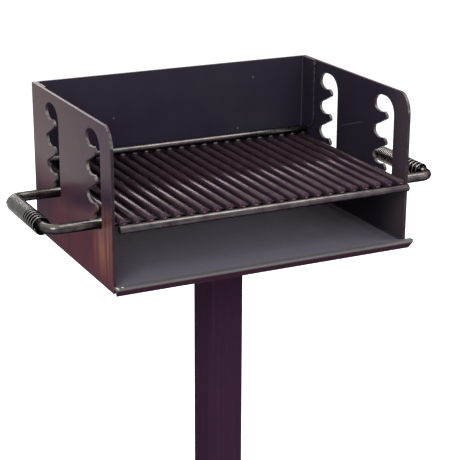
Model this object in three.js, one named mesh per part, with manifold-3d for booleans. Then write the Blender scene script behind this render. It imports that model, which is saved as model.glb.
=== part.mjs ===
// A pedestal charcoal grill for parks and picnic sites: an open plate-steel firebox that swivels on a
// square post, and a rod grate that two comb slots in each side plate hold at different heights.
// Millimetres, +Z up. The open front faces -Y. The origin is the centre of the base plate's underside.
import * as THREE from "three";
import { mergeVertices } from "three/addons/utils/BufferGeometryUtils.js";
import Module from "manifold-3d";

const wasm = await Module();
wasm.setup();

// Driving sizes
const boxWidth = 508; // over the two side plates, 20 in
const boxDepth = 340; // side plates, front to rear
const boxHeight = 250;
const boxBottom = 660; // lower edges of the side plates above the ground
const plate = 4.8; // 3/16 in steel plate
const seam = 0.3; // gap where two welded or resting pieces meet
const cutOverrun = 2; // how far a cutting tool stands past the metal

// Comb slots, two in each side plate
const slotSetback = 63; // rear edge of the plate to the rear slot
const slotFrontStrip = 41; // plate left in front of the front slot
const slotWidth = 59;
const levelPitch = 43.5; // one grate level to the next
const levelCount = 3; // hooked levels above the slot's bottom
const slotTopStrip = 16; // plate left above the slots
const topSeatDrop = 29; // top of a slot to the lowest point of its highest seat
const tongueReach = 37.5; // rear wall of the slot to the tip of a tongue
const seatHalfLength = 18; // half of the elliptical seat that cradles a bar
const seatDepth = 12;
const nibAngle = THREE.MathUtils.degToRad(304); // where the seat's ellipse ends, at the upturned nib
const tipLength = 9.4; // rounded nose of a tongue, measured along it
const tipDepth = 7.5;
const tipAngle = THREE.MathUtils.degToRad(-25); // where the nose meets the sloping roof
const roofCorner = 8; // rounded corner where a seat's sloping roof meets the rear wall
const roofRise = 20.5; // that corner's front end above the seat's lowest point
const archFront = 28; // radius of the slot's upper front corner
const archRear = 22; // width of its upper rear corner
const bottomRise = 11.75; // slot's bottom above where the next seat would be
const bottomCorner = 6;
const footSetback = 26; // rear wall of the slot to the rear of its foot
const topCornerDepth = 26; // rounded front top corner of a side plate, front to rear
const topCornerDrop = 35;

// Back sheet, folded forward along the insides of the side plates
const backSheet = 3.4; // 10 gauge
const backFold = 4; // outer radius of the fold
const flangeReach = 45; // from the firebox's rear to the flange's front edge
const flangeLength = 124; // down from the top
const flangeCorner = 22; // rounded lower front corner

// Floor, and the folded angle that caps its front edge
const floorRise = 2.9; // floor's underside above the side plates' lower edges
const lipSheet = 3.4;
const lipReach = 13; // past the side plates' front edges
const lipFace = 11.2; // height of its front leg, outside
const lipBend = 4.6; // outer radius of the fold
const lipOverhang = 10; // past the right-hand side plate
const lipMitre = 12; // run of its slanted right-hand end

// Grate
const carrierDiameter = 15.9; // 5/8 in round bar, bent into the carrier loops
const barDiameter = 12.7; // 1/2 in round bar for the front and back bars
const rodDiameter = 12.7;
const rodCount = 23;
const sideClearance = 5.25; // outermost rod to the side plate
const frontBarInset = 2.2; // end of the front bar to the side plate
const backBarInset = 6.2; // clears the back sheet's flanges
const barChamfer = 1.4;
const frontBarReach = 11.5; // axis of the front bar in front of the side plates
const frontBarDrop = 7.1; // axis of the front bar below the rods' axes
const backBarSetback = 20; // axis of the back bar to the rear of the firebox
const rodRearSetback = 15; // rods' rear ends to the rear of the firebox

// Carrier loops and their spring grips
const handleReach = 80; // axis of the loop's outer run outside the side plate
const handleBend = 19; // centre-line radius of the loop's corners
const coilDiameter = 27;
const coilWire = 4;
const coilPitch = 4.6; // where the turns lie close
const openPitch = 7.3; // mean, where they spread towards the front end
const openTurns = 5;
const openGrowth = 1.5; // exponent of the spread
const coilEndGap = 1; // coil's end to the start of the bend
const coilRunningGap = 0.1; // least gap to the bar while the grip turns, facets included

// Swivel under the firebox
const mountLength = 152;
const mountWidth = 102;
const mountThickness = 6.4;
const washerDiameter = 76;
const washerThickness = 3.2;
const spindleDiameter = 38.1;
const spindleLength = 92;
const spindleGap = 0.35; // radial running clearance in the bearing plate and washer
const grooveWidth = 18;
const grooveDepth = 5;
const grooveRise = 26; // centre of the groove above the spindle's lower end
const spindleChamfer = 3;

// Post
const postWidth = 63.5; // 2 1/2 in square tube
const postCorner = 6;
const headWidth = 90;
const headThickness = 9.5;
const headCorner = 6;
const baseWidth = 254;
const baseThickness = 9.5;
const baseCorner = 16;
const anchorInset = 31.75; // middle of an anchor hole to the plate's edges
const anchorHole = 17.5;

// Lock bolt in the rear wall of the post, its point in the spindle's groove
const boltDiameter = 9.5;
const boltHoleGap = 0.4;
const boltHeadWidth = 14.3; // across the flats
const boltHeadThickness = 6.4;
const boltNutGap = 3; // bolt head to nut
const nutWidth = 17.5;
const nutThickness = 9;
const boltPointGap = 1; // bolt's point to the bottom of the groove

// Facets
const quarterTurn = Math.PI / 2;
const barSides = 12;
const bendSteps = 6;
const roundSides = 48;
const cornerSteps = 5;
const coilSteps = 8;
const coilSides = 5;

// Places that follow from the sizes
const halfInner = boxWidth / 2 - plate;
const rear = boxDepth / 2;
const front = -boxDepth / 2;
const floorBottom = boxBottom + floorRise;
const lipTop = floorBottom + plate + seam + lipSheet;
const carrierRadius = carrierDiameter / 2;
const barRadius = barDiameter / 2;
const rodRadius = rodDiameter / 2;
const slotTop = boxHeight - slotTopStrip;
const topSeat = slotTop - topSeatDrop;
const lastSeat = topSeat - levelCount * levelPitch;
const slotSpacing = boxDepth - slotSetback - slotWidth - slotFrontStrip;
const flangeBottom = boxHeight - flangeLength;
const slotBottom = lastSeat + bottomRise;
const channelMiddle = (tongueReach + slotWidth) / 2;
const legHeight = boxBottom + slotBottom + seam + carrierRadius;
const rodHeight = legHeight + carrierRadius + seam + rodRadius;
const frontBarY = front - frontBarReach;
const backBarY = rear - backBarSetback;
const legRearY = rear - slotSetback - channelMiddle;
const legFrontY = legRearY - slotSpacing;
const handleX = boxWidth / 2 + handleReach;
const mountTop = floorBottom - seam;
const washerTop = mountTop - mountThickness - seam;
const headTop = washerTop - washerThickness - seam;
const anchorSpacing = baseWidth - 2 * anchorInset;
const postTop = headTop - headThickness - seam;
const postBottom = baseThickness + seam;
const spindleTop = mountTop - mountThickness - seam;
const grooveHeight = spindleTop - spindleLength + grooveRise;

const black = (name, color, roughness, metalness = 0.3) =>
  new THREE.MeshStandardMaterial({ name, color, roughness, metalness });
const enamel = black("black enamel", 0x2b2629, 0.35);
const bakedFloor = black("heat-dulled floor", 0x55555a, 0.6);
const grateSteel = black("grate bar", 0x3a3436, 0.4, 0.7);
const coilSteel = black("spring wire", 0x4a4a4e, 0.35, 0.8);
const postPaint = black("post enamel", 0x2e2229, 0.4);
const plainSteel = black("plain steel", 0x6a6a6e, 0.45, 0.8);

// Solids and cuts
function solidOf(geometry) {
  const bare = new THREE.BufferGeometry();
  bare.setAttribute("position", geometry.getAttribute("position"));
  if (geometry.index) bare.setIndex(geometry.index);
  const merged = mergeVertices(bare, 1e-4);
  return new wasm.Manifold(
    new wasm.Mesh({
      numProp: 3,
      vertProperties: new Float32Array(merged.attributes.position.array),
      triVerts: new Uint32Array(merged.index.array),
    }),
  );
}

function geometryOf(solid) {
  const mesh = solid.getMesh();
  const geometry = new THREE.BufferGeometry();
  geometry.setAttribute("position", new THREE.BufferAttribute(mesh.vertProperties, 3));
  geometry.setIndex(new THREE.BufferAttribute(mesh.triVerts, 1));
  geometry.computeVertexNormals();
  return geometry;
}

function cutFrom(body, tools) {
  let solid = solidOf(body);
  for (const tool of tools) solid = solid.subtract(solidOf(tool));
  return geometryOf(solid);
}

function joined(first, second) {
  return geometryOf(solidOf(first).add(solidOf(second)));
}

// Outlines
function ellipsePoints(centre, halfWidth, halfHeight, from, to, steps) {
  return Array.from({ length: steps + 1 }, (_, i) => {
    const angle = from + ((to - from) * i) / steps;
    return new THREE.Vector2(
      centre.x + halfWidth * Math.cos(angle),
      centre.y + halfHeight * Math.sin(angle),
    );
  });
}

function roundedSquare(side, corner) {
  const reach = side / 2 - corner;
  const points = [0, 1, 2, 3].flatMap((quarter) => {
    const from = quarter * quarterTurn;
    const turn = from + Math.PI / 4;
    const centre = new THREE.Vector2(
      reach * Math.sign(Math.cos(turn)),
      reach * Math.sign(Math.sin(turn)),
    );
    return ellipsePoints(centre, corner, corner, from, from + quarterTurn, cornerSteps);
  });
  return new THREE.Shape(points);
}

function circlePath(x, y, radius, sides = roundSides) {
  const points = ellipsePoints(new THREE.Vector2(x, y), radius, radius, 0, 2 * Math.PI, sides);
  return new THREE.Path(points.slice(0, sides));
}

function extruded(shape, depth) {
  return new THREE.ExtrudeGeometry(shape, { depth, bevelEnabled: false, curveSegments: roundSides });
}

// A profile drawn in the Y-Z plane, extruded along X from startX
function extrudedAlongX(shape, depth, startX) {
  const turn = new THREE.Matrix4().makeBasis(
    new THREE.Vector3(0, 1, 0),
    new THREE.Vector3(0, 0, 1),
    new THREE.Vector3(1, 0, 0),
  );
  return extruded(shape, depth).applyMatrix4(turn).translate(startX, 0, 0);
}

// A turned piece about Z, from pairs of radius and height
function turned(profile, sides = roundSides) {
  const points = profile.map(([radius, height]) => new THREE.Vector2(radius, height));
  return new THREE.LatheGeometry(points, sides).rotateX(quarterTurn);
}

// A round bar along Z with chamfered ends
function roundBar(length, radius, chamfer) {
  return turned(
    [
      [0, 0],
      [radius - chamfer, 0],
      [radius, chamfer],
      [radius, length - chamfer],
      [radius - chamfer, length],
      [0, length],
    ],
    barSides,
  );
}

// One closed tube through the rings of a section, each given by its middle and two cross directions
function tubeThrough(rings, radius, sides) {
  const positions = [];
  const indices = [];
  for (const { middle, across, up } of rings) {
    for (let k = 0; k < sides; k++) {
      const angle = (2 * Math.PI * k) / sides;
      const point = middle
        .clone()
        .addScaledVector(across, radius * Math.cos(angle))
        .addScaledVector(up, radius * Math.sin(angle));
      positions.push(point.x, point.y, point.z);
    }
  }
  for (let i = 0; i + 1 < rings.length; i++) {
    for (let k = 0; k < sides; k++) {
      const a = i * sides + k;
      const b = i * sides + ((k + 1) % sides);
      indices.push(a, b, a + sides, b, b + sides, a + sides);
    }
  }
  const last = (rings.length - 1) * sides;
  for (let k = 1; k + 1 < sides; k++) {
    indices.push(0, k + 1, k, last, last + k, last + k + 1);
  }
  const geometry = new THREE.BufferGeometry();
  geometry.setAttribute("position", new THREE.Float32BufferAttribute(positions, 3));
  geometry.setIndex(indices);
  geometry.computeVertexNormals();
  return geometry;
}

// Pieces
const grill = new THREE.Group();
const post = new THREE.Group();
const firebox = new THREE.Group();
const grate = new THREE.Group();
grill.add(post, firebox, grate);

function addPiece(group, name, geometry, material) {
  const mesh = new THREE.Mesh(geometry, material);
  mesh.name = name;
  group.add(mesh);
  return mesh;
}

// A comb slot. Points run forward from the slot's rear wall and up from the plate's bottom edge:
// up the straight front edge, over the arch, down past each seat and its tongue, then round the foot.
function combSlot(rearWallY) {
  const at = (x, y) => new THREE.Vector2(x, y);
  const foot = at(slotWidth - bottomCorner, slotBottom + bottomCorner);
  const frontArch = at(slotWidth - archFront, slotTop - archFront);
  const rearArch = at(archRear, topSeat + seatDepth);
  const archRise = slotTop - rearArch.y;
  const points = [
    ...ellipsePoints(foot, bottomCorner, bottomCorner, -quarterTurn, 0, cornerSteps),
    ...ellipsePoints(frontArch, archFront, archFront, 0, quarterTurn, 2 * cornerSteps),
    ...ellipsePoints(rearArch, archRear, archRise, quarterTurn, Math.PI, cornerSteps),
  ];
  for (let level = 0; level < levelCount; level++) {
    const seat = topSeat - level * levelPitch;
    const cradle = [at(seatHalfLength, seat + seatDepth), seatHalfLength, seatDepth];
    // The arch, or the corner of the roof above, already ends where the cradle starts
    points.push(...ellipsePoints(...cradle, Math.PI, nibAngle, 2 * cornerSteps).slice(1));
    const tip = at(tongueReach - tipLength, points.at(-1).y - tipDepth);
    const nose = ellipsePoints(tip, tipLength, tipDepth, quarterTurn, tipAngle, cornerSteps);
    points.push(...nose.slice(1));
    const nextSeat = seat - levelPitch;
    if (level < levelCount - 1) {
      const corner = [at(roofCorner, nextSeat + seatDepth), roofCorner, roofRise - seatDepth];
      points.push(...ellipsePoints(...corner, quarterTurn, Math.PI, cornerSteps));
    } else {
      const roofEnd = at(roofCorner, nextSeat + roofRise);
      const noseEnd = nose.at(-1);
      const along = (noseEnd.x - footSetback) / (noseEnd.x - roofEnd.x);
      points.push(noseEnd.clone().lerp(roofEnd, along));
    }
  }
  const heel = at(footSetback + bottomCorner, slotBottom + bottomCorner);
  const heelEnd = Math.PI + quarterTurn;
  points.push(...ellipsePoints(heel, bottomCorner, bottomCorner, Math.PI, heelEnd, cornerSteps));
  return new THREE.Path(points.map((p) => at(rearWallY - p.x, p.y)));
}

function sidePlate() {
  const corner = new THREE.Vector2(front + topCornerDepth, boxHeight - topCornerDrop);
  // Counter-clockwise: ExtrudeGeometry turns a hole the right way round only inside such an outline
  const outline = new THREE.Shape([
    new THREE.Vector2(front, 0),
    new THREE.Vector2(rear, 0),
    new THREE.Vector2(rear, boxHeight),
    ...ellipsePoints(corner, topCornerDepth, topCornerDrop, quarterTurn, Math.PI, 2 * cornerSteps),
  ]);
  for (const slot of [0, 1]) outline.holes.push(combSlot(rear - slotSetback - slot * slotSpacing));
  return outline;
}

function addFirebox() {
  const side = sidePlate();
  const left = extrudedAlongX(side, plate, -boxWidth / 2).translate(0, 0, boxBottom);
  const right = extrudedAlongX(side, plate, halfInner).translate(0, 0, boxBottom);
  addPiece(firebox, "left_side_plate", left, enamel);
  addPiece(firebox, "right_side_plate", right, enamel);

  const inner = 2 * (halfInner - seam);
  addPiece(firebox, "back_plate", backPlate(inner), enamel);
  addPiece(firebox, "floor_plate", floorPlate(inner), bakedFloor);
  addPiece(firebox, "front_lip", frontLip(), enamel);
}

// A channel seen from above, its two flanges cut short above the grate's rear end
function backPlate(inner) {
  const right = inner / 2;
  const flangeFront = rear - flangeReach;
  const fold = new THREE.Vector2(right - backFold, rear - backFold);
  const innerFold = backFold - backSheet;
  const outer = ellipsePoints(fold, backFold, backFold, 0, quarterTurn, cornerSteps);
  const inside = ellipsePoints(fold, innerFold, innerFold, quarterTurn, 0, cornerSteps);
  const mirrored = (points) => points.map((p) => new THREE.Vector2(-p.x, p.y)).reverse();
  const channel = new THREE.Shape([
    new THREE.Vector2(right, flangeFront),
    ...outer,
    ...mirrored(outer),
    new THREE.Vector2(-right, flangeFront),
    new THREE.Vector2(-right + backSheet, flangeFront),
    ...mirrored(inside),
    ...inside,
    new THREE.Vector2(right - backSheet, flangeFront),
  ]);
  const corner = new THREE.Vector2(flangeFront + flangeCorner, flangeBottom + flangeCorner);
  const offcut = new THREE.Shape([
    new THREE.Vector2(flangeFront - cutOverrun, -cutOverrun),
    new THREE.Vector2(rear - backSheet, -cutOverrun),
    new THREE.Vector2(rear - backSheet, flangeBottom),
    ...ellipsePoints(corner, flangeCorner, flangeCorner, -quarterTurn, -Math.PI, 2 * cornerSteps),
    new THREE.Vector2(flangeFront - cutOverrun, flangeBottom + flangeCorner),
  ]);
  const cut = extrudedAlongX(offcut, inner + 2 * cutOverrun, -right - cutOverrun);
  return cutFrom(extruded(channel, boxHeight), [cut]).translate(0, 0, boxBottom);
}

// The floor lies between the side plates and runs on under the front lip, up to its fold
function floorPlate(inner) {
  const slabFront = front - lipReach + lipBend;
  const slabRear = rear - backSheet - seam;
  const slab = new THREE.BoxGeometry(inner, slabRear - slabFront, plate);
  return slab.translate(0, (slabRear + slabFront) / 2, floorBottom + plate / 2);
}

// An angle folded from sheet: one leg on the floor in front of the side plates, the other down over
// the floor's edge. Its right-hand end runs on past the side plate and is mitred.
function frontLip() {
  const lipFront = front - lipReach;
  const lipBottom = lipTop - lipFace;
  const fold = new THREE.Vector2(lipFront + lipBend, lipTop - lipBend);
  const outer = ellipsePoints(fold, lipBend, lipBend, quarterTurn, Math.PI, cornerSteps);
  const innerBend = lipBend - lipSheet;
  const inside = ellipsePoints(fold, innerBend, innerBend, Math.PI, quarterTurn, cornerSteps);
  const profile = new THREE.Shape([
    new THREE.Vector2(front - seam, lipTop),
    ...outer,
    new THREE.Vector2(lipFront, lipBottom),
    new THREE.Vector2(lipFront + lipSheet, lipBottom),
    ...inside,
    new THREE.Vector2(front - seam, lipTop - lipSheet),
  ]);
  const leftEnd = -boxWidth / 2;
  const rightEnd = boxWidth / 2 + lipOverhang;
  const lip = extrudedAlongX(profile, rightEnd - leftEnd, leftEnd);

  const slope = lipMitre / lipFace;
  const wedge = new THREE.Shape([
    new THREE.Vector2(rightEnd, lipTop),
    new THREE.Vector2(rightEnd - lipMitre - cutOverrun * slope, lipBottom - cutOverrun),
    new THREE.Vector2(rightEnd + cutOverrun, lipBottom - cutOverrun),
    new THREE.Vector2(rightEnd + cutOverrun, lipTop),
  ]);
  const mitreCut = extruded(wedge, lipReach + 2 * cutOverrun)
    .rotateX(quarterTurn)
    .translate(0, front + cutOverrun, 0);
  return cutFrom(lip, [mitreCut]);
}

function addSwivel() {
  const mount = new THREE.BoxGeometry(mountLength, mountWidth, mountThickness);
  mount.translate(0, 0, mountTop - mountThickness / 2);
  addPiece(firebox, "swivel_mount_plate", mount, enamel);

  const radius = spindleDiameter / 2;
  const core = radius - grooveDepth;
  const grooveLow = grooveRise - grooveWidth / 2;
  const grooveHigh = grooveRise + grooveWidth / 2;
  const spindle = turned([
    [0, 0],
    [radius - spindleChamfer, 0],
    [radius, spindleChamfer],
    [radius, grooveLow],
    [core, grooveLow],
    [core, grooveHigh],
    [radius, grooveHigh],
    [radius, spindleLength],
    [0, spindleLength],
  ]).translate(0, 0, spindleTop - spindleLength);
  addPiece(firebox, "swivel_spindle", spindle, plainSteel);

  const ring = circlePath(0, 0, washerDiameter / 2);
  const washer = new THREE.Shape(ring.getPoints());
  washer.holes.push(circlePath(0, 0, radius + spindleGap));
  const washerSolid = extruded(washer, washerThickness).translate(0, 0, washerTop - washerThickness);
  addPiece(post, "thrust_washer", washerSolid, plainSteel);
}

function addPost() {
  const head = roundedSquare(headWidth, headCorner);
  head.holes.push(circlePath(0, 0, spindleDiameter / 2 + spindleGap));
  const headSolid = extruded(head, headThickness).translate(0, 0, headTop - headThickness);
  addPiece(post, "post_bearing_plate", headSolid, postPaint);

  const wall = roundedSquare(postWidth, postCorner);
  wall.holes.push(roundedSquare(postWidth - 2 * plate, postCorner - plate / 2));
  const tube = extruded(wall, postTop - postBottom).translate(0, 0, postBottom);
  const boltHole = extruded(
    new THREE.Shape(circlePath(0, 0, boltDiameter / 2 + boltHoleGap, barSides).getPoints()),
    plate + 2 * cutOverrun,
  )
    .rotateX(quarterTurn)
    .translate(0, postWidth / 2 + cutOverrun, grooveHeight);
  addPiece(post, "post_tube", cutFrom(tube, [boltHole]), postPaint);

  const base = roundedSquare(baseWidth, baseCorner);
  for (const x of [-anchorSpacing / 2, anchorSpacing / 2]) {
    for (const y of [-anchorSpacing / 2, anchorSpacing / 2]) {
      base.holes.push(circlePath(x, y, anchorHole / 2, barSides));
    }
  }
  addPiece(post, "base_plate", extruded(base, baseThickness), postPaint);
}

function hexagon(acrossFlats) {
  const points = circlePath(0, 0, acrossFlats / Math.sqrt(3), 6).getPoints();
  return new THREE.Shape(points);
}

// The bolt screws forward through a nut welded to the rear of the post
function addLockBolt() {
  const nutFront = postWidth / 2 + seam;
  const nutRear = nutFront + nutThickness;
  const nut = hexagon(nutWidth);
  nut.holes.push(circlePath(0, 0, boltDiameter / 2 + boltHoleGap, barSides));
  const alongY = (geometry, rearY) =>
    geometry.rotateX(quarterTurn).translate(0, rearY, grooveHeight);
  addPiece(post, "lock_nut", alongY(extruded(nut, nutThickness), nutRear), plainSteel);

  const headFront = nutRear + boltNutGap;
  const point = spindleDiameter / 2 - grooveDepth + boltPointGap;
  const shankLength = headFront - point + seam;
  const bar = roundBar(shankLength, boltDiameter / 2, barChamfer);
  const shank = alongY(bar, headFront + seam);
  const headRear = headFront + boltHeadThickness;
  const boltHead = alongY(extruded(hexagon(boltHeadWidth), boltHeadThickness), headRear);
  addPiece(post, "lock_bolt", joined(shank, boltHead), plainSteel);
}

// Rods lie on the carrier loops' legs and butt against the front bar
function addGrateRods() {
  const start = frontBarY + barRadius + seam;
  const end = rear - rodRearSetback;
  const outermost = halfInner - sideClearance - rodRadius;
  const pitch = (2 * outermost) / (rodCount - 1);
  for (let i = 0; i < rodCount; i++) {
    const rod = roundBar(end - start, rodRadius, barChamfer).rotateX(quarterTurn);
    rod.translate(-outermost + i * pitch, end, rodHeight);
    addPiece(grate, "grate_rod_" + String(i + 1).padStart(2, "0"), rod, grateSteel);
  }
}

function addCrossBars() {
  const bar = (inset) => {
    const length = 2 * (halfInner - inset);
    return roundBar(length, barRadius, barChamfer)
      .rotateY(quarterTurn)
      .translate(-length / 2, 0, 0);
  };
  const frontBar = bar(frontBarInset).translate(0, frontBarY, rodHeight - frontBarDrop);
  const backHeight = rodHeight + rodRadius + seam + barRadius;
  const backBar = bar(backBarInset).translate(0, backBarY, backHeight);
  addPiece(grate, "front_bar", frontBar, grateSteel);
  addPiece(grate, "back_bar", backBar, grateSteel);
}

// Half of the carrier loop on one side: a leg in through each slot to mid-width, where the two
// halves are butt welded, and an outer run that carries the grip. side is -1 on the left.
function carrierLoop(side) {
  const up = new THREE.Vector3(0, 0, 1);
  const rings = [];
  const addRing = (x, y, acrossX, acrossY) =>
    rings.push({
      middle: new THREE.Vector3(side * x, y, legHeight),
      across: new THREE.Vector3(side * acrossX, acrossY, 0),
      up,
    });
  const bendX = handleX - handleBend;
  addRing(seam / 2, legRearY, 0, 1);
  for (let i = 0; i <= bendSteps; i++) {
    const angle = quarterTurn * (1 - i / bendSteps);
    const [c, s] = [Math.cos(angle), Math.sin(angle)];
    addRing(bendX + handleBend * c, legRearY - handleBend + handleBend * s, c, s);
  }
  for (let i = 0; i <= bendSteps; i++) {
    const angle = -quarterTurn * (i / bendSteps);
    const [c, s] = [Math.cos(angle), Math.sin(angle)];
    addRing(bendX + handleBend * c, legFrontY + handleBend + handleBend * s, c, s);
  }
  addRing(seam / 2, legFrontY, 0, -1);
  if (side < 0) rings.reverse(); // keeps the faces outward on the mirrored half
  return tubeThrough(rings, carrierRadius, barSides);
}

// The grip hangs on the loop's outer run, so its axis lies below the bar's by its own slack
const coilRadius = (coilDiameter - coilWire) / 2;
const coilFacetRadius = coilRadius * Math.cos(Math.PI / coilSteps);
const coilBore = coilFacetRadius - (coilWire / 2) * Math.cos(Math.PI / coilSides);
const coilSlack = coilBore - carrierRadius - coilRunningGap;
const coilHeight = legHeight - coilSlack;

function gripCoil(side) {
  const rearEnd = legRearY - handleBend - coilEndGap - coilWire / 2;
  const frontEnd = legFrontY + handleBend + coilEndGap + coilWire / 2;
  const gripLength = rearEnd - frontEnd;
  const closeTurns = Math.round((gripLength - openTurns * openPitch) / coilPitch);
  const turns = closeTurns + openTurns;
  const spread = gripLength - coilPitch * turns;
  const forward = (turn) => {
    const open = Math.max(0, turn - closeTurns) / openTurns;
    return coilPitch * turn + spread * open ** openGrowth;
  };
  const centre = (turn) => {
    const angle = 2 * Math.PI * turn;
    return new THREE.Vector3(
      side * handleX + side * coilRadius * Math.cos(angle),
      rearEnd - forward(turn),
      coilHeight + coilRadius * Math.sin(angle),
    );
  };
  const rings = [];
  const stepTurn = 1 / coilSteps;
  for (let i = 0; i <= turns * coilSteps; i++) {
    const turn = i * stepTurn;
    const middle = centre(turn);
    const angle = 2 * Math.PI * turn;
    const across = new THREE.Vector3(side * Math.cos(angle), 0, Math.sin(angle));
    const along = centre(turn + stepTurn / 2).sub(centre(turn - stepTurn / 2)).normalize();
    const up = new THREE.Vector3().crossVectors(along, across).normalize();
    rings.push({ middle, across, up });
  }
  return rings;
}

// Least distance between the wire's surface points on neighbouring turns
function leastCoilGap(geometry) {
  const points = geometry.getAttribute("position");
  const a = new THREE.Vector3();
  const b = new THREE.Vector3();
  const rings = points.count / coilSides;
  let least = Infinity;
  for (let i = 0; i < rings; i++) {
    for (let j = i + coilSteps / 2; j < Math.min(rings, i + 2 * coilSteps); j++) {
      for (let m = 0; m < coilSides * coilSides; m++) {
        a.fromBufferAttribute(points, i * coilSides + (m % coilSides));
        b.fromBufferAttribute(points, j * coilSides + Math.floor(m / coilSides));
        least = Math.min(least, a.distanceTo(b));
      }
    }
  }
  return least;
}

function addCarriersAndGrips() {
  for (const [name, side] of [
    ["left", -1],
    ["right", 1],
  ]) {
    addPiece(grate, "carrier_loop_" + name, carrierLoop(side), grateSteel);
    const coil = tubeThrough(gripCoil(side), coilWire / 2, coilSides);
    addPiece(grate, "grip_spring_" + name, coil, coilSteel);
    console.log(name + " grip: least gap between turns " + leastCoilGap(coil).toFixed(2) + " mm");
  }
}

addPost();
addSwivel();
addLockBolt();
addFirebox();
addGrateRods();
addCrossBars();
addCarriersAndGrips();

export default grill;
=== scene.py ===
# A park grill: black enamelled firebox on a square post, rod grate with spring hand grips.
# Metres, +Z up. The firebox's open front faces -Y.
import math

import bmesh
import bpy
from mathutils import Matrix, Vector


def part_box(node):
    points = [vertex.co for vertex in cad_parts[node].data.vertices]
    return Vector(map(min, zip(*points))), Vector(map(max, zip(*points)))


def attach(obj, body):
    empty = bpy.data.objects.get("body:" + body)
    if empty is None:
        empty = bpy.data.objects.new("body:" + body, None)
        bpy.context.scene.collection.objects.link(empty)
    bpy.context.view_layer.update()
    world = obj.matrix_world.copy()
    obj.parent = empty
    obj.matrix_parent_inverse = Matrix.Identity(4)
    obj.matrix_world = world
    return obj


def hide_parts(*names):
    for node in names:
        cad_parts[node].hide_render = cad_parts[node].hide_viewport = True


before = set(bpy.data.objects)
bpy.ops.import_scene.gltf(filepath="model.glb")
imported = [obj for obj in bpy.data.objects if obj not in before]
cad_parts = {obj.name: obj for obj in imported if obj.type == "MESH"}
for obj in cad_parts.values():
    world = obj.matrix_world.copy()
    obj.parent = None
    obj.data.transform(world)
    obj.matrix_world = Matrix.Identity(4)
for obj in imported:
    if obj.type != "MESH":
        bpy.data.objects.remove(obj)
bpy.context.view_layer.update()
scene = bpy.context.scene


def low(node):
    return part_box(node)[0]


def high(node):
    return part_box(node)[1]


# Camera at the photograph's viewing angle
cameraSettings = {
    "place": (-0.967, -1.987, 1.415),
    "yaw": 26.45,  # degrees to the right of straight ahead
    "pitch": 18.60,  # degrees down
    "roll": 0.27,
    "lens": 110.8,
    "sensor": 36.0,
    "clipStart": 0.05,
}


def addCamera(values):
    data = bpy.data.cameras.new("photoCamera")
    data.lens = values["lens"]
    data.sensor_width = values["sensor"]
    data.clip_start = values["clipStart"]
    eye = bpy.data.objects.new("photoCamera", data)
    scene.collection.objects.link(eye)
    turn = Matrix.Rotation(math.radians(-values["yaw"]), 4, "Z")
    tilt = Matrix.Rotation(math.radians(90 - values["pitch"]), 4, "X")
    roll = Matrix.Rotation(math.radians(values["roll"]), 4, "Z")
    eye.matrix_world = Matrix.Translation(values["place"]) @ turn @ tilt @ roll
    scene.camera = eye


addCamera(cameraSettings)
print("camera set")


# Node trees, shader and geometry alike. Most helpers find their tree through a socket they are given.
def setInputs(node, inputs):
    for key, value in inputs.items():
        if isinstance(value, bpy.types.NodeSocket):
            node.id_data.links.new(value, node.inputs[key])
        else:
            node.inputs[key].default_value = value


def addNode(tree, kind, inputs=None, **settings):
    node = tree.nodes.new(kind)
    for key, value in settings.items():
        setattr(node, key, value)
    setInputs(node, inputs or {})
    return node


vectorSocket = "NodeSocketVector"
socketKinds = {float: "NodeSocketFloat", int: "NodeSocketInt", tuple: vectorSocket}


# Each input comes with its default value, or with the kind of socket where it needs none
def newTree(name, kind, inputs, outputLabel, outputKind):
    tree = bpy.data.node_groups.new(name, kind)
    for label, value in inputs.items():
        bare = isinstance(value, str)
        socketKind = value if bare else socketKinds[type(value)]
        socket = tree.interface.new_socket(label, in_out="INPUT", socket_type=socketKind)
        if not bare:
            socket.default_value = value
    tree.interface.new_socket(outputLabel, in_out="OUTPUT", socket_type=outputKind)
    return tree, tree.nodes.new("NodeGroupInput").outputs, tree.nodes.new("NodeGroupOutput").inputs


def newMaskTree(name, inputs, output="Mask"):
    inputs = {"Vector": vectorSocket, **inputs}
    return newTree(name, "ShaderNodeTree", inputs, output, "NodeSocketFloat")


def remap(value, fromLow, fromHigh, toLow=0.0, toHigh=1.0):
    inputs = {"Value": value, "From Min": fromLow, "From Max": fromHigh, "To Min": toLow, "To Max": toHigh}
    return addNode(value.id_data, "ShaderNodeMapRange", inputs).outputs["Result"]


# From one value to another as a mask goes from 0 to 1
def between(mask, clear, full):
    return remap(mask, 0.0, 1.0, clear, full)


# Either of the two values may be a plain number
def maths(operation, first, second=0.5):
    tree = (first if isinstance(first, bpy.types.NodeSocket) else second).id_data
    return addNode(tree, "ShaderNodeMath", {0: first, 1: second}, operation=operation).outputs[0]


def times(first, second):
    return maths("MULTIPLY", first, second)


def plus(first, second):
    return maths("ADD", first, second)


def minus(first, second):
    return maths("SUBTRACT", first, second)


def vectorMaths(operation, first, second=(0.0, 0.0, 0.0)):
    node = addNode(first.id_data, "ShaderNodeVectorMath", {0: first, 1: second}, operation=operation)
    return node.outputs["Value" if operation in ("DOT_PRODUCT", "DISTANCE", "LENGTH") else "Vector"]


def component(vector, axis):
    return addNode(vector.id_data, "ShaderNodeSeparateXYZ", {0: vector}).outputs[axis]


def noise(vector, scale, detail, roughness=0.5):
    inputs = {"Vector": vector, "Scale": scale, "Detail": detail, "Roughness": roughness}
    return addNode(vector.id_data, "ShaderNodeTexNoise", inputs).outputs["Fac"]


# Coats of colour over a first one, each through its own mask
def layer(colour, *coats):
    for mask, coat in coats:
        inputs = {"Factor": mask, "A": colour, "B": coat}
        colour = addNode(mask.id_data, "ShaderNodeMix", inputs, data_type="RGBA").outputs[2]
    return colour


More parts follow.
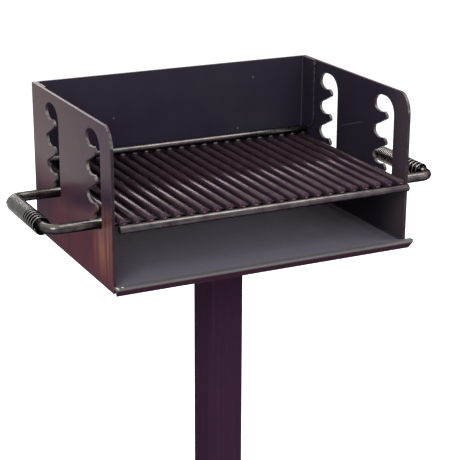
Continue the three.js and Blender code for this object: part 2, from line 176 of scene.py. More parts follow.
# Soft clouds of tone, from 0 to 1
def buildMottle():
    tree, given, made = newMaskTree("mottle", {"Scale": 12.0, "Contrast": 0.5})
    cloud = noise(given["Vector"], given["Scale"], detail=5.0, roughness=0.6)
    middle, half = 0.5, times(given["Contrast"], 0.5)
    tree.links.new(remap(cloud, minus(middle, half), plus(middle, half)), made["Mask"])
    return tree


# The skin of sprayed paint over mill scale: a fine ripple and a few long waves
def buildPaintSkin():
    inputs = {"Grain": 700.0, "Wave": 45.0, "Grain Share": 0.12}
    tree, given, made = newMaskTree("paintSkin", inputs, "Height")
    fine = noise(given["Vector"], given["Grain"], detail=2.0)
    wide = noise(given["Vector"], given["Wave"], detail=3.0)
    tree.links.new(plus(times(fine, given["Grain Share"]), wide), made["Height"])
    return tree


# Where paint is rubbed off: near edges, in a broken line
edgeWearSettings = {
    "samples": 6,
    "turned": (0.97, 0.80),  # dot product of the rounded and the flat normal, clear and full
    "chipScale": 160.0,
    "softness": 0.1,
}


def buildEdgeWear(values):
    tree, given, made = newMaskTree("edgeWear", {"Radius": 0.001, "Break": 0.5})
    bevel = addNode(tree, "ShaderNodeBevel", {"Radius": given["Radius"]}, samples=values["samples"])
    flat = addNode(tree, "ShaderNodeNewGeometry").outputs["Normal"]
    edge = remap(vectorMaths("DOT_PRODUCT", bevel.outputs["Normal"], flat), *values["turned"])
    chips = noise(given["Vector"], values["chipScale"], detail=4.0)
    breakLow = minus(given["Break"], values["softness"])
    breakHigh = plus(given["Break"], values["softness"])
    tree.links.new(times(edge, remap(chips, breakLow, breakHigh)), made["Mask"])
    return tree


# Fine scratches, long in one direction
scratchSettings = {"clear": 0.75, "full": 0.78, "reach": 0.25}


def buildScratches(values):
    tree, given, made = newMaskTree("scratches", {"Stretch": (900.0, 900.0, 30.0), "Amount": 0.3})
    stretched = vectorMaths("MULTIPLY", given["Vector"], given["Stretch"])
    streaks = noise(stretched, 1.0, detail=3.0)
    lowEnd = minus(values["clear"], times(given["Amount"], values["reach"]))
    tree.links.new(remap(streaks, lowEnd, values["full"]), made["Mask"])
    return tree


# Ash and dust that settles on upward faces
ashSettings = {"slopes": (0.3, 0.9), "clear": 0.6, "full": 0.75}


def buildSettledAsh(values):
    tree, given, made = newMaskTree("settledAsh", {"Scale": 30.0, "Cover": 0.5})
    normal = addNode(tree, "ShaderNodeNewGeometry").outputs["Normal"]
    upward = remap(component(normal, "Z"), *values["slopes"])
    flakes = noise(given["Vector"], given["Scale"], detail=6.0, roughness=0.7)
    lowEnd = times(minus(1.0, given["Cover"]), values["clear"])
    tree.links.new(times(upward, remap(flakes, lowEnd, values["full"])), made["Mask"])
    return tree


# 1 on a face that looks away from the fire, 0 on one that looks at it
def buildAwayFromFire():
    tree, given, made = newMaskTree("awayFromFire", {"Normal": vectorSocket, "Fire": vectorSocket})
    outward = vectorMaths("SUBTRACT", given["Vector"], given["Fire"])
    dot = vectorMaths("DOT_PRODUCT", outward, given["Normal"])
    softness = 0.01
    tree.links.new(remap(dot, -softness, softness), made["Mask"])
    return tree


# Small round specks, each with its own chance of showing
def buildSpecks():
    inputs = {"Scale": 60.0, "Size": 0.12, "Share": 0.1, "Solid Part": 0.6}
    tree, given, made = newMaskTree("specks", inputs)
    cells = addNode(tree, "ShaderNodeTexVoronoi", {"Vector": given["Vector"], "Scale": given["Scale"]})
    chance = addNode(tree, "ShaderNodeSeparateColor", {"Color": cells.outputs["Color"]}).outputs[0]
    shown = maths("LESS_THAN", chance, given["Share"])
    inner = times(given["Size"], given["Solid Part"])
    dot = remap(cells.outputs["Distance"], given["Size"], inner)
    tree.links.new(times(dot, shown), made["Mask"])
    return tree


# A painted highlight along each inner bend of the back sheet, and one long slanting scratch.
# Each range goes from clear to full.
bendGlintScratchSettings = {
    "bend": (0.2462, 0.1652, 0.0),
    "bendGlintWidth": (0.0024, 0.0010),
    "scratchHeight": 0.8243,
    "scratchSlope": 0.32,
    "scratchWidth": (0.0012, 0.0004),
    "scratchedFace": (0.240, 0.242),  # the right plate's inside
    "scratchRear": (0.045, 0.025),
    "scratchFront": (-0.040, -0.022),
}


def buildBendGlintScratch(values):
    tree, given, made = newMaskTree("bendGlintScratch", {})
    parts = addNode(tree, "ShaderNodeSeparateXYZ", {0: given["Vector"]}).outputs
    mirrored = {"X": maths("ABSOLUTE", parts["X"]), "Y": parts["Y"]}
    folded = addNode(tree, "ShaderNodeCombineXYZ", mirrored).outputs[0]
    # painted highlight along each bend
    bend = remap(vectorMaths("DISTANCE", folded, values["bend"]), *values["bendGlintWidth"])
    slanted = plus(parts["Z"], times(parts["Y"], values["scratchSlope"]))
    offLine = maths("ABSOLUTE", minus(slanted, values["scratchHeight"]))
    onFace = remap(parts["X"], *values["scratchedFace"])
    scratch = times(remap(offLine, *values["scratchWidth"]), onFace)
    front = remap(parts["Y"], *values["scratchFront"])
    ends = times(remap(parts["Y"], *values["scratchRear"]), front)
    tree.links.new(maths("MAXIMUM", bend, times(scratch, ends)), made["Mask"])
    return tree


mottle = buildMottle()
paintSkin = buildPaintSkin()
edgeWear = buildEdgeWear(edgeWearSettings)
scratches = buildScratches(scratchSettings)
settledAsh = buildSettledAsh(ashSettings)
awayFromFire = buildAwayFromFire()
specks = buildSpecks()
bendGlintScratch = buildBendGlintScratch(bendGlintScratchSettings)


def useGroup(group, where, **values):
    inputs = {"Vector": where, **values}
    return addNode(where.id_data, "ShaderNodeGroup", inputs, node_tree=group).outputs[0]


def startMaterial(name, **fixed):
    material = bpy.data.materials.new(name)
    material.use_nodes = True
    tree = material.node_tree
    shader = tree.nodes["Principled BSDF"]
    setInputs(shader, {key.replace("_", " "): value for key, value in fixed.items()})
    return material, shader, addNode(tree, "ShaderNodeTexCoord").outputs


def readAttribute(material, name):
    return addNode(material.node_tree, "ShaderNodeAttribute", attribute_name=name).outputs["Fac"]


def bumpFrom(where, values, relief=0.0):
    strength, distance = values["bump"]
    height = plus(useGroup(paintSkin, where, **values["skin"]), relief)
    inputs = {"Height": height, "Strength": strength, "Distance": distance}
    return addNode(where.id_data, "ShaderNodeBump", inputs).outputs["Normal"]


def wornAway(where, values):
    return times(useGroup(edgeWear, where, **values["wear"]), values["wearShare"])


def speckled(where, values):
    return times(useGroup(specks, where, **values["specks"]), values["speckShare"])


# In a material's settings, a pair of places, tilts or tones is where a mask is 0 and where it is 1.
# Two more numbers are its values there. A pair of shares or of roughnesses goes with a mask's 0 and 1.

# Black enamel of the firebox: sooty inside, lighter where the plate was cut; outside, its colour holds
# painted reflections, lighter above and towards the rear, dark maroon below
enamelSettings = {
    "specular": 0.06,
    "fire": (0.0, 0.0, 0.80),
    # painted reflections in the outer paint: lighter towards the rear, dark maroon in the lower band
    "rearPaintAndReflection": (0.071, 0.031, 0.034, 1),
    "frontPaintAndReflection": (0.031, 0.005, 0.019, 1),
    "reflectionDepths": (-0.15, 0.12),
    "lowerPaintedReflection": (0.105, 0.013, 0.024, 1),
    "lowerReflectionHeights": (0.80, 0.72),
    "streak": (0.020, 0.010, 0.024, 1),
    "broadStreaks": {"Stretch": (34.0, 34.0, 2.2), "Amount": 1.6},
    "fineStreaks": {"Stretch": (120.0, 120.0, 5.0), "Amount": 1.5},
    "fineShare": 0.4,
    "streakShare": 0.65,
    "rearShade": (0.06, 0.16, 0.0, 0.8),
    "shadeBandHeight": 0.763,  # painted shade: the dark band behind the handles, also duller
    "shadeBandSlope": 0.22,
    "shadeBandWidth": (0.024, 0.005, 0.0, 0.7),
    "shadeBandDepths": (0.06, -0.04, 0.3, 1.0),
    "shadeBandRoughness": 0.6,
    # painted highlight: orange-brown streaks low on the outside near the front
    "warmHighlight": (0.30, 0.125, 0.075, 1),
    "warmHighlightRear": (-0.085, -0.13),
    "warmHighlightFront": (-0.171, -0.158, 0.2, 1.0),
    "warmHighlightStreaks": (0.0, 0.6, 0.15, 0.9),
    "warmHighlightHeights": (0.665, 0.715),
    "clouds": {"Scale": 9.0, "Contrast": 0.6},
    "outerClouds": 0.25,
    "soot": (0.022, 0.011, 0.028, 1),
    "sootCloud": (0.028, 0.028, 0.037, 1),
    # painted light: a lighter strip of the inside near the front edge
    "paintedFrontLight": (0.060, 0.042, 0.054, 1),
    "frontLightDepths": (-0.10, -0.155, 0.0, 0.8),
    "speck": (0.16, 0.14, 0.14, 1),
    "specks": {"Scale": 34.0, "Size": 0.075, "Share": 0.22},
    "speckShare": 0.7,
    "glintScratchShare": 0.35,
    # painted shade: darker front-facing edges near the front
    "shadedFrontEdge": (0.020, 0.013, 0.019, 1),
    "frontTilt": (-0.6, -0.9),
    "frontDepths": (-0.12, -0.15),
    "cutFace": (0.21, 0.20, 0.185, 1),
    "cutMottle": {"Scale": 110.0, "Contrast": 0.3},
    "leastBare": 0.08,
    "wear": {"Radius": 0.0009, "Break": 0.44},
    "wearShare": 0.5,
    "bareMetal": 0.2,
    "outerRoughness": (0.34, 0.70),  # upper paint, lower paint
    "sootRoughness": 0.38,
    "dust": (0.6, 0.95, 0.0, 0.14),  # roughness added on upward rims
    "skin": {"Grain": 650.0, "Wave": 28.0},
    "bump": (0.3, 0.0007),  # strength, distance
}


def makeEnamel(name, values):
    material, shader, coords = startMaterial(name, Specular_IOR_Level=values["specular"])
    where, facing = coords["Object"], coords["Normal"]
    height, depth = component(where, "Z"), component(where, "Y")
    outside = useGroup(awayFromFire, where, Normal=facing, Fire=values["fire"])
    clouds = useGroup(mottle, where, **values["clouds"])
    broad = useGroup(scratches, where, **values["broadStreaks"])
    fine = useGroup(scratches, where, **values["fineStreaks"])
    # the lower band, where a dark maroon reflection is painted into the paint
    lowerReflection = remap(height, *values["lowerReflectionHeights"])
    lines = times(plus(broad, times(fine, values["fineShare"])), values["streakShare"])
    # painted shade: a dark, dull band behind the handles
    slanted = plus(height, times(depth, values["shadeBandSlope"]))
    offBand = maths("ABSOLUTE", minus(slanted, values["shadeBandHeight"]))
    shadeBandDepth = remap(depth, *values["shadeBandDepths"])
    paintedShadeBand = times(remap(offBand, *values["shadeBandWidth"]), shadeBandDepth)
    # painted highlight: orange-brown streaks low near the front
    warmHighlight = times(remap(depth, *values["warmHighlightRear"]), remap(depth, *values["warmHighlightFront"]))
    warmHighlight = times(warmHighlight, remap(fine, *values["warmHighlightStreaks"]))
    warmHighlight = times(warmHighlight, times(lowerReflection, remap(height, *values["warmHighlightHeights"])))
    outerPaint = layer(
        values["frontPaintAndReflection"],
        (remap(depth, *values["reflectionDepths"]), values["rearPaintAndReflection"]),
        (lowerReflection, values["lowerPaintedReflection"]),
        (times(lines, lowerReflection), values["streak"]),
        (times(lowerReflection, remap(depth, *values["rearShade"])), values["streak"]),
        (paintedShadeBand, values["streak"]),
        (warmHighlight, values["warmHighlight"]),
        (times(clouds, values["outerClouds"]), values["sootCloud"]),
    )
    innerPaint = layer(
        values["soot"],
        (clouds, values["sootCloud"]),
        # painted light on the inside near the front edge
        (remap(depth, *values["frontLightDepths"]), values["paintedFrontLight"]),
        (speckled(where, values), values["speck"]),
        # painted highlight along the back sheet's bends, and a scratch
        (times(useGroup(bendGlintScratch, where), values["glintScratchShare"]), values["speck"]),
    )
    # painted shade on front-facing faces near the front
    frontward = remap(component(facing, "Y"), *values["frontTilt"])
    shadedFrontEdge = times(frontward, remap(depth, *values["frontDepths"]))
    cut = readAttribute(material, "cutFace")
    cutMottle = useGroup(mottle, where, **values["cutMottle"])
    bareCut = times(cut, between(cutMottle, values["leastBare"], 1.0))
    bare = maths("MAXIMUM", wornAway(where, values), bareCut)
    edges = (shadedFrontEdge, values["shadedFrontEdge"]), (bare, values["cutFace"])
    painted = between(lowerReflection, *values["outerRoughness"])
    painted = plus(painted, times(paintedShadeBand, values["shadeBandRoughness"]))
    sides = {"Factor": outside, "A": values["sootRoughness"], "B": painted}
    rough = addNode(material.node_tree, "ShaderNodeMix", sides).outputs["Result"]
    dusty = remap(component(facing, "Z"), *values["dust"])
    look = {
        "Base Color": layer(innerPaint, (outside, outerPaint), *edges),
        "Metallic": times(bare, values["bareMetal"]),
        "Roughness": plus(rough, dusty),
        "Normal": bumpFrom(where, values),
    }
    setInputs(shader, look)
    return material


# Floor plate: the same enamel, dulled to a cool grey by heat and a film of ash
floorSettings = {
    "specular": 0.1,
    "paint": (0.138, 0.122, 0.158, 1),
    "ash": (0.212, 0.188, 0.208, 1),
    "ashFilm": {"Scale": 90.0, "Cover": 0.55},
    "ashShare": 0.35,
    "scorch": (0.030, 0.022, 0.026, 1),
    "scorchDepths": (-0.13, 0.17, 0.0, 0.65),
    "scorchClouds": {"Scale": 6.0, "Contrast": 0.8},
    "scorchShare": (0.6, 1.2),
    "speck": (0.33, 0.32, 0.31, 1),
    "specks": {"Scale": 120.0, "Size": 0.10, "Share": 0.10},
    "speckShare": 0.4,
    "under": (0.030, 0.014, 0.022, 1),
    "underTilt": (0.3, -0.3),
    "bareSteel": (0.22, 0.20, 0.20, 1),
    "wear": {"Radius": 0.0012, "Break": 0.44},
    "wearShare": 0.6,
    "roughness": (0.42, 0.7),  # paint, ash
    "skin": {"Grain": 420.0, "Wave": 60.0},
    "bump": (0.35, 0.0006),
}


def makeFloorFinish(values):
    material, shader, coords = startMaterial("heatDulledEnamel", Specular_IOR_Level=values["specular"])
    where = coords["Object"]
    ash = useGroup(settledAsh, where, **values["ashFilm"])
    clouds = useGroup(mottle, where, **values["scorchClouds"])
    towardsBack = remap(component(where, "Y"), *values["scorchDepths"])
    colour = layer(
        values["paint"],
        (times(ash, values["ashShare"]), values["ash"]),
        (times(between(clouds, *values["scorchShare"]), towardsBack), values["scorch"]),
        (speckled(where, values), values["speck"]),
        (remap(component(coords["Normal"], "Z"), *values["underTilt"]), values["under"]),
        (wornAway(where, values), values["bareSteel"]),
    )
    look = {
        "Base Color": colour,
        "Roughness": between(ash, *values["roughness"]),
        "Normal": bumpFrom(where, values, ash),
    }
    setInputs(shader, look)
    return material


# Front lip: maroon-black down its face, dusty and grey on top, rubbed in places, with a painted highlight
# along its fold
lipSettings = {
    "specular": 0.08,
    "face": (0.020, 0.004, 0.012, 1),
    "top": (0.105, 0.098, 0.104, 1),
    "topTilt": (0.1, 0.5),
    "rub": (0.11, 0.10, 0.095, 1),
    # painted highlight along the fold between top and face
    "foldHighlightTilt": (0.35, 0.7),
    "flatTilt": (1.0, 0.85),
    "clouds": {"Scale": 30.0, "Contrast": 0.4},
    "foldHighlightShare": (0.2, 0.8),
    "specks": {"Scale": 95.0, "Size": 0.16, "Share": 0.12},
    "speckShare": 0.5,
    "wear": {"Radius": 0.0009, "Break": 0.44},
    "wearShare": 0.7,
    "bare": (0.80, 0.78, 0.72, 1),
    "chips": (  # x, y and radius, on top of the lip's left end
        (-0.2516, -0.1762, 0.0018),
        (-0.2508, -0.1790, 0.0019),
        (-0.2498, -0.1818, 0.0017),
        (-0.2425, -0.1775, 0.0022),
    ),
    "chipMiddle": 0.6,
    "rubMetal": 0.4,
    "roughness": (0.30, 0.48),
    "skin": {"Grain": 600.0, "Wave": 70.0},
    "bump": (0.35, 0.0006),
}


def makeLipFinish(values):
    material, shader, coords = startMaterial("lipEnamel", Specular_IOR_Level=values["specular"])
    where = coords["Object"]
    upward = component(coords["Normal"], "Z")
    clouds = useGroup(mottle, where, **values["clouds"])
    # painted highlight along the fold, mixed with real rubs below
    foldHighlight = times(remap(upward, *values["foldHighlightTilt"]), remap(upward, *values["flatTilt"]))
    rub = times(foldHighlight, between(clouds, *values["foldHighlightShare"]))
    rub = maths("MAXIMUM", rub, speckled(where, values))
    rub = maths("MAXIMUM", rub, wornAway(where, values))
    chipped = 0.0
    for x, y, radius in values["chips"]:
        away = vectorMaths("DISTANCE", where, (x, y, high("front_lip").z))
        chip = remap(away, radius, radius * values["chipMiddle"])
        chipped = maths("MAXIMUM", chipped, chip)
    colour = layer(
        values["face"],
        (remap(upward, *values["topTilt"]), values["top"]),
        (rub, values["rub"]),
        (chipped, values["bare"]),
    )
    look = {
        "Base Color": colour,
        "Metallic": times(rub, values["rubMetal"]),
        "Roughness": between(clouds, *values["roughness"]),
        "Normal": bumpFrom(where, values),
    }
    setInputs(shader, look)
    return material


# Grate bar: seasoned dark steel, browned by fat and rubbed in places; a painted highlight along the top,
# partly polish, and painted shade underneath, partly soot
barLookSettings = {
    "tint": (0.06, 0.06, 0.06, 1),
    "grease": {"Scale": 19.0, "Contrast": 0.4},
    "rubbing": {"Scale": 48.0, "Contrast": 0.28},
    # upward faces take the painted highlight, downward ones the painted shade
    "topTilt": (0.25, 0.85),
    "underTilt": (0.05, -0.55),
    "soot": (0.004, 0.003, 0.005, 1),
    "skin": {"Grain": 500.0, "Wave": 150.0},
    "bump": (0.3, 0.0004),
}
rodSteelSettings = {
    **barLookSettings,
    "crust": (0.062, 0.034, 0.058, 1),
    "brown": (0.070, 0.040, 0.054, 1),
    "rub": (0.100, 0.076, 0.074, 1),
    "polishAndSheen": (0.086, 0.060, 0.064, 1),
    "metal": 0.55,
    "leastTopSheen": 0.0,
    "rubShare": 0.25,
    "sootAndShadeBelow": 0.0,
    "roughness": (0.13, 0.24),
}
barSteelSettings = {
    **barLookSettings,
    "crust": (0.028, 0.020, 0.028, 1),
    "brown": (0.046, 0.034, 0.042, 1),
    "rub": (0.13, 0.12, 0.115, 1),
    "polishAndSheen": (0.12, 0.11, 0.105, 1),
    "metal": 0.94,
    "leastTopSheen": 0.45,
    "rubShare": 0.4,
    "sootAndShadeBelow": 0.55,
    "roughness": (0.20, 0.34),
}
handleSteelSettings = {
    **barLookSettings,
    "crust": (0.018, 0.013, 0.020, 1),
    "brown": (0.030, 0.021, 0.027, 1),
    "rub": (0.15, 0.14, 0.13, 1),
    "polishAndSheen": (0.19, 0.175, 0.165, 1),
    "metal": 0.94,
    "leastTopSheen": 0.45,
    "rubShare": 0.35,
    "sootAndShadeBelow": 0.7,
    "roughness": (0.20, 0.32),
}


def makeBarSteel(name, values):
    fixed = {"Metallic": values["metal"], "Specular_Tint": values["tint"]}
    material, shader, coords = startMaterial(name, **fixed)
    where = coords["Object"]
    tilt = component(coords["Normal"], "Z")
    upward = remap(tilt, *values["topTilt"])
    greasy = useGroup(mottle, where, **values["grease"])
    rubbed = useGroup(mottle, where, **values["rubbing"])
    colour = layer(
        values["crust"],
        (greasy, values["brown"]),
        # painted highlight on top, partly polish, and below it painted shade, partly soot
        (times(upward, between(rubbed, values["leastTopSheen"], 1.0)), values["polishAndSheen"]),
        (times(rubbed, values["rubShare"]), values["rub"]),
        (remap(tilt, *values["underTilt"], 0.0, values["sootAndShadeBelow"]), values["soot"]),
    )
    look = {
        "Base Color": colour,
        "Roughness": between(greasy, *values["roughness"]),
        "Normal": bumpFrom(where, values),
    }
    setInputs(shader, look)
    return material


# Spring wire: mid grey and glossy, rubbed bright by hands, with painted shade near black between the turns
springWireSettings = {
    "metal": 0.94,
    "tint": (0.05, 0.05, 0.05, 1),
    "wire": (0.33, 0.31, 0.305, 1),
    "rub": (0.80, 0.76, 0.71, 1),
    "rubbing": {"Scale": 26.0, "Contrast": 0.5},
    "rubShare": 0.5,
    # painted shade between the turns
    "between": (0.003, 0.003, 0.004, 1),
    "crown": (0.72, 1.0),
    "roughness": (0.26, 0.18),
}


def makeSpringWire(values):
    fixed = {"Metallic": values["metal"], "Specular_Tint": values["tint"]}
    material, shader, coords = startMaterial("springWire", **fixed)
    rubbed = useGroup(mottle, coords["Object"], **values["rubbing"])
    colour = layer(values["wire"], (times(rubbed, values["rubShare"]), values["rub"]))
    # painted shade: the wire goes near black on its inner side, between the turns
    crown = remap(readAttribute(material, "crown"), *values["crown"])
    colour = layer(values["between"], (crown, colour))
    roughness = between(rubbed, *values["roughness"])
    setInputs(shader, {"Base Color": colour, "Roughness": roughness})
    return material


# Post: dark paint over the faint drawing lines of the tube
postSettings = {
    "specular": 0.0,
    "paint": (0.030, 0.013, 0.032, 1),
    "cloud": (0.036, 0.016, 0.030, 1),
    "clouds": {"Scale": 9.0, "Contrast": 0.5},
    "line": (0.052, 0.026, 0.044, 1),
    "lines": {"Stretch": (190.0, 190.0, 2.0), "Amount": 0.95},
    "lineShare": 0.5,
    "worn": (0.12, 0.10, 0.10, 1),
    "wear": {"Radius": 0.001, "Break": 0.56},
    "wearShare": 0.5,
    "roughness": (0.42, 0.55),
    "skin": {"Grain": 650.0, "Wave": 24.0},
    "bump": (0.3, 0.0005),
}


def makePostPaint(values):
    material, shader, coords = startMaterial("postPaint", Specular_IOR_Level=values["specular"])
    where = coords["Object"]
    clouds = useGroup(mottle, where, **values["clouds"])
    lines = useGroup(scratches, where, **values["lines"])
    colour = layer(
        values["paint"],
        (clouds, values["cloud"]),
        (times(lines, values["lineShare"]), values["line"]),
        (wornAway(where, values), values["worn"]),
    )
    look = {
        "Base Color": colour,
        "Roughness": between(clouds, *values["roughness"]),
        "Normal": bumpFrom(where, values, lines),
    }
    setInputs(shader, look)
    return material


# Weld metal: sooty, rubbed bright on its crowns
weldMetalSettings = {
    "specular": 0.2,
    "soot": (0.016, 0.012, 0.016, 1),
    "crown": (0.10, 0.088, 0.085, 1),
    "crowns": {"Scale": 130.0, "Contrast": 0.35},
    "crownMetal": 0.4,
    "roughness": (0.45, 0.26),
}


def makeWeldMetal(values):
    material, shader, coords = startMaterial("weldMetal", Specular_IOR_Level=values["specular"])
    bright = useGroup(mottle, coords["Object"], **values["crowns"])
    look = {
        "Base Color": layer(values["soot"], (bright, values["crown"])),
        "Metallic": times(bright, values["crownMetal"]),
        "Roughness": between(bright, *values["roughness"]),
    }
    setInputs(shader, look)
    return material


# Turned and plated hardware
hardwareSettings = {
    "metal": 0.9,
    "specular": 0.5,
    "zinc": (0.32, 0.31, 0.30, 1),
    "dull": (0.17, 0.15, 0.14, 1),
    "dulling": {"Scale": 70.0, "Contrast": 0.5},
    "roughness": (0.3, 0.55),
}


def makeHardware(values):
    fixed = {"Metallic": values["metal"], "Specular_IOR_Level": values["specular"]}
    material, shader, coords = startMaterial("platedSteel", **fixed)
    dull = useGroup(mottle, coords["Object"], **values["dulling"])
    look = {
        "Base Color": layer(values["zinc"], (dull, values["dull"])),
        "Roughness": between(dull, *values["roughness"]),
    }
    setInputs(shader, look)
    return material


enamel = makeEnamel("blackEnamel", enamelSettings)
lipEnamel = makeLipFinish(lipSettings)
heatDulledEnamel = makeFloorFinish(floorSettings)
rodSteel = makeBarSteel("grateRod", rodSteelSettings)
barSteel = makeBarSteel("grateBar", barSteelSettings)
handleSteel = makeBarSteel("handleBar", handleSteelSettings)
springWire = makeSpringWire(springWireSettings)
postPaint = makePostPaint(postSettings)
weldMetal = makeWeldMetal(weldMetalSettings)
platedSteel = makeHardware(hardwareSettings)
print("materials made")


# Finished meshes
def finishMesh(piece, body, replaced=(), sharpAngle=35):
    mesh = piece.data
    mesh.shade_smooth()
    mesh.set_sharp_from_angle(angle=math.radians(sharpAngle))
    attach(piece, body)
    if replaced:
        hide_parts(*replaced)


def linked(name, mesh):
    piece = bpy.data.objects.new(name, mesh)
    scene.collection.objects.link(piece)
    return piece


def addBevel(piece, width, segments, angle):
    bevel = piece.modifiers.new("bevel", "BEVEL")
    bevel.width = width
    bevel.segments = segments
    bevel.limit_method = "ANGLE"
    bevel.angle_limit = math.radians(angle)


# Puts what a piece's modifiers make of it in place of its mesh
def applyModifiers(piece):
    graph = bpy.context.evaluated_depsgraph_get()
    mesh = bpy.data.meshes.new_from_object(piece.evaluated_get(graph))
    mesh.name = piece.name
    piece.modifiers.clear()
    piece.data = mesh
    return mesh


chamferSettings = {"segments": 3, "angle": 60}


# Runs a geometry tree, and a chamfer after it where one is asked for, into a plain mesh
def growMesh(name, tree, values, chamfer=0.0, seed=None):
    piece = linked(name, seed or bpy.data.meshes.new(name + "Seed"))
    modifier = piece.modifiers.new("grow", "NODES")
    modifier.node_group = tree
    for item in tree.interface.items_tree:
        if item.in_out == "INPUT" and item.name in values:
            modifier[item.identifier] = values[item.name]
    if chamfer:
        addBevel(piece, chamfer, chamferSettings["segments"], chamferSettings["angle"])
    applyModifiers(piece)
    return piece


# Plates get a copy of the CAD solid with its edges eased, and their cut faces marked
easeSettings = {"segments": 2, "angle": 50, "mergeDistance": 2e-6, "flatAngle": 0.5, "flatWeight": 100}


def easePlate(node, name, material, body, slot, width, howCut):
    values = easeSettings
    cleaner = bmesh.new()
    cleaner.from_mesh(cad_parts[node].data)
    bmesh.ops.remove_doubles(cleaner, verts=cleaner.verts, dist=values["mergeDistance"])
    flatAngle = math.radians(values["flatAngle"])
    bmesh.ops.dissolve_limit(cleaner, angle_limit=flatAngle, verts=cleaner.verts, edges=cleaner.edges)
    cleaner.verts.index_update()
    corners = [vert.co.copy() for vert in cleaner.verts]
    faces = [[vert.index for vert in face.verts] for face in cleaner.faces]
    cleaner.free()
    mesh = bpy.data.meshes.new(name + "Seed")
    mesh.from_pydata(corners, [], faces)
    mesh.shade_smooth()
    piece = linked(name, mesh)
    addBevel(piece, width, values["segments"], values["angle"])
    flat = piece.modifiers.new("flatFaces", "WEIGHTED_NORMAL")  # keeps the large faces flat
    flat.weight = values["flatWeight"]
    eased = applyModifiers(piece)
    eased.materials.clear()
    eased.materials.append(material)
    cutFace = eased.attributes.new("cutFace", "FLOAT", "FACE")
    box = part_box(node)
    cutFace.data.foreach_set("value", [howCut(face, box) for face in eased.polygons])
    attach(piece, body)
    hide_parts(node)


# How bare and bright a cut face is: the slots' upward faces most, a painted highlight, their downward faces
# least, a painted shade; then the front top corner
sideCutSettings = {
    "sideTilt": 0.8,
    "rim": 0.03,  # a face nearer to the plate's outline than this belongs to its rim
    "slotHighlightMiddle": 0.45,
    "slotShadeLeast": 0.15,
    "topTilt": 0.96,
    "top": 0.05,
    "cornerTilt": 0.06,
    "corner": 0.75,
    "leftEdge": 0.06,
    "rightEdge": 0.14,
}


def sideCut(face, box):
    values = sideCutSettings
    if abs(face.normal.x) > values["sideTilt"]:
        return 0.0
    toRim = min((face.center - box[0]).y, (box[1] - face.center).y, (box[1] - face.center).z)
    if toRim >= values["rim"]:
        # painted highlight and shade: a slot face is brighter the more it turns upward
        return max(values["slotShadeLeast"], min(1.0, values["slotHighlightMiddle"] + face.normal.z))
    if face.normal.z > values["topTilt"]:
        return values["top"]
    if face.normal.z > values["cornerTilt"] and face.normal.y < 0:
        return values["corner"]
    return values["leftEdge" if face.center.x < 0 else "rightEdge"]


sheetCutSettings = {"edgeTilt": 0.6, "edge": 0.08}


def sheetCut(face, box):
    return sheetCutSettings["edge"] if abs(face.normal.z) > sheetCutSettings["edgeTilt"] else 0.0


def neverCut(face, box):
    return 0.0


easedPlates = {
    "left_side_plate": ("leftSidePlate", enamel, "firebox", "enamel", 0.0006, sideCut),
    "right_side_plate": ("rightSidePlate", enamel, "firebox", "enamel", 0.0006, sideCut),
    "back_plate": ("backSheet", enamel, "firebox", "enamel", 0.0004, sheetCut),
    "floor_plate": ("floorPlate", heatDulledEnamel, "firebox", "baked_floor", 0.0005, neverCut),
    "front_lip": ("frontLip", lipEnamel, "firebox", "enamel", 0.0004, neverCut),
    "swivel_mount_plate": ("swivelMountPlate", enamel, "firebox", "enamel", 0.0006, neverCut),
    "post_bearing_plate": ("bearingPlate", postPaint, "post", "post_enamel", 0.0007, neverCut),
    "post_tube": ("postTube", postPaint, "post", "post_enamel", 0.0005, neverCut),
    "base_plate": ("basePlate", postPaint, "post", "post_enamel", 0.0008, neverCut),
    "lock_bolt": ("lockBolt", platedSteel, "post", "plain_steel", 0.0004, neverCut),
    "lock_nut": ("lockNut", platedSteel, "post", "plain_steel", 0.0004, neverCut),
}
for node, settings in easedPlates.items():
    easePlate(node, *settings)
print("plates eased")


def newGeometryTree(name, inputs):
    inputs = {**inputs, "Finish": "NodeSocketMaterial"}
    return newTree(name, "GeometryNodeTree", inputs, "Geometry", "NodeSocketGeometry")


# Gives a shape its material and makes it the tree's result
def giveFinish(given, made, shape):
    tree, inputs = shape.id_data, {"Geometry": shape, "Material": given["Finish"]}
    tree.links.new(addNode(tree, "GeometryNodeSetMaterial", inputs).outputs["Geometry"], made["Geometry"])


rowInputs = {"Count": 1, "Start": vectorSocket, "Pitch": vectorSocket}


# Copies of one mesh at equal steps
def copyInRow(given, made, mesh, **change):
    tree = mesh.id_data
    steps = {"Count": given["Count"], "Start Location": given["Start"], "Offset": given["Pitch"]}
    row = addNode(tree, "GeometryNodeMeshLine", steps, mode="OFFSET").outputs["Mesh"]
    copies = addNode(tree, "GeometryNodeInstanceOnPoints", {"Points": row, "Instance": mesh, **change})
    solid = addNode(tree, "GeometryNodeRealizeInstances", {"Geometry": copies.outputs["Instances"]})
    giveFinish(given, made, solid.outputs["Geometry"])


# A round bar along a curve
def sweepBar(curve, sides, radius, more=None):
    tree = curve.id_data
    section = addNode(tree, "GeometryNodeCurvePrimitiveCircle", {"Resolution": sides, "Radius": radius})
    inputs = {"Curve": curve, "Profile Curve": section.outputs["Curve"], **(more or {})}
    return addNode(tree, "GeometryNodeCurveToMesh", inputs).outputs["Mesh"]


# Straight bars: the rods in one row, and the two bars across them
def buildRodRow():
    inputs = {**rowInputs, "Sides": 32, "Radius": 0.006, "Length": 0.3, "Turn": vectorSocket}
    tree, given, made = newGeometryTree("rodRow", inputs)
    size = {"Vertices": given["Sides"], "Radius": given["Radius"], "Depth": given["Length"]}
    rod = addNode(tree, "GeometryNodeMeshCylinder", {"Side Segments": 1, **size}).outputs["Mesh"]
    turned = addNode(tree, "FunctionNodeEulerToRotation", {"Euler": given["Turn"]}).outputs["Rotation"]
    copyInRow(given, made, rod, Rotation=turned)
    return tree


